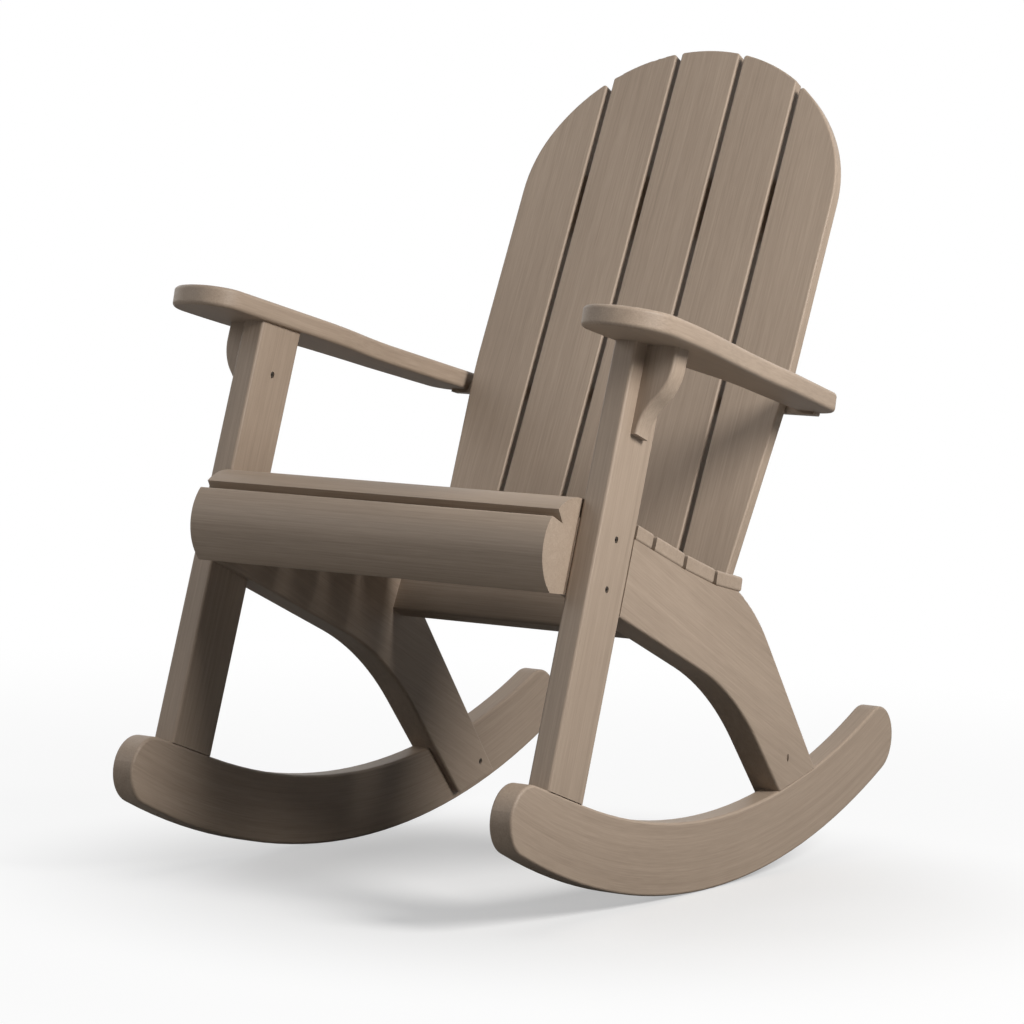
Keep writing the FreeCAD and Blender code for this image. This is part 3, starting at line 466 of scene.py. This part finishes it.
def soft_lamp(name, place, size, watts, colour):
    # A round lamp that faces the middle of the chair.
    lamp = bpy.data.lights.new(name, "AREA")
    lamp.shape = "DISK"
    lamp.size = size
    lamp.energy = watts
    lamp.color = colour
    holder = bpy.data.objects.new(name, lamp)
    holder.location = place
    holder.rotation_euler = (Vector(CHAIR_MIDDLE) - Vector(place)).to_track_quat("-Z", "Y").to_euler()
    bpy.context.scene.collection.objects.link(holder)


soft_lamp("key_lamp", (2.3, -0.2, 1.9), 1.2, 86, (1.0, 0.985, 0.965))
soft_lamp("front_lamp", (-2.4, -2.6, 2.0), 1.8, 18, (0.97, 0.985, 1.0))
soft_lamp("low_lamp", (-0.6, -3.0, 1.2), 1.6, 8, (0.97, 0.985, 1.0))
soft_lamp("top_lamp", (0.0, -1.0, 3.2), 2.0, 13, (0.98, 0.99, 1.0))
soft_lamp("rim_lamp", (-2.6, 0.4, 1.8), 1.8, 14, (1.0, 1.0, 1.0))

# White surround: full white where the lens, gloss or glass looks at it, and nearly dark as a
# source of soft light, which is left to the lamps.
FILL_LIGHT, FULL_WHITE = 0.03, 1.0
world = bpy.data.worlds.new("white_surround")
world.use_nodes = True
bpy.context.scene.world = world
tree = world.node_tree
rays = tree.nodes.new("ShaderNodeLightPath").outputs
seen = reckon(tree, "MAXIMUM", rays["Is Camera Ray"], rays["Is Glossy Ray"])
seen = reckon(tree, "MAXIMUM", seen, rays["Is Transmission Ray"])
backdrop = tree.nodes["Background"]
feed(backdrop.inputs["Color"], (1, 1, 1, 1))
feed(backdrop.inputs["Strength"], spread(tree, seen, 0.0, 1.0, FILL_LIGHT, FULL_WHITE))

# Floor: matt paint under the chair, which takes the shadow, and plain white farther off. The
# lens sees it pale, but other rays meet it darker, most of all near the chair, so that little
# light comes up under the seat.
FLOOR_DROP = 0.0005
SHADOW_MIDDLE = (0.16, -0.15, 0.0)
WHITE_REACH = 3.0
PAINT_SEEN = 0.72
BOUNCE_NEAR, BOUNCE_FAR = 0.13, 0.55
BOUNCE_FROM, BOUNCE_TO = 0.3, 1.3
bpy.ops.object.select_all(action="DESELECT")
bpy.ops.mesh.primitive_plane_add(size=30.0, location=(0, 0, -FLOOR_DROP))
floor = bpy.context.active_object
floor.name = "studio_floor"
pale = bpy.data.materials.new("pale_floor")
pale.use_nodes = True
tree = pale.node_tree
tree.nodes.remove(tree.nodes["Principled BSDF"])
rays = tree.nodes.new("ShaderNodeLightPath").outputs
coords = tree.nodes.new("ShaderNodeTexCoord")
away = tree.nodes.new("ShaderNodeVectorMath")
away.operation = "DISTANCE"
feed(away.inputs[0], coords.outputs["Object"])
feed(away.inputs[1], SHADOW_MIDDLE)
distance = away.outputs["Value"]
fade = tree.nodes.new("ShaderNodeValToRGB")
fade.color_ramp.interpolation = "EASE"
near_tone, far_tone = fade.color_ramp.elements
near_tone.position, near_tone.color = 0.09, (0.42, 0.42, 0.42, 1)
far_tone.position, far_tone.color = 0.95, (1, 1, 1, 1)
rim_tone = fade.color_ramp.elements.new(0.26)
rim_tone.color = (0.90, 0.90, 0.90, 1)
feed(fade.inputs["Fac"], spread(tree, distance, 0.0, WHITE_REACH, 0.0, 1.0))
bounce = spread(tree, distance, BOUNCE_FROM, BOUNCE_TO, BOUNCE_NEAR, BOUNCE_FAR)
paint = tree.nodes.new("ShaderNodeBsdfDiffuse")
feed(paint.inputs["Color"], spread(tree, rays["Is Camera Ray"], 0.0, 1.0, bounce, PAINT_SEEN))
glow = tree.nodes.new("ShaderNodeEmission")
feed(glow.inputs["Strength"], 1.0)
blend = tree.nodes.new("ShaderNodeMixShader")
feed(blend.inputs["Fac"], reckon(tree, "MULTIPLY", fade.outputs["Color"], rays["Is Camera Ray"]))
feed(blend.inputs[1], paint.outputs["BSDF"])
feed(blend.inputs[2], glow.outputs["Emission"])
feed(tree.nodes["Material Output"].inputs["Surface"], blend.outputs["Shader"])
floor.data.materials.append(pale)

bpy.context.scene.view_settings.view_transform = "Standard"
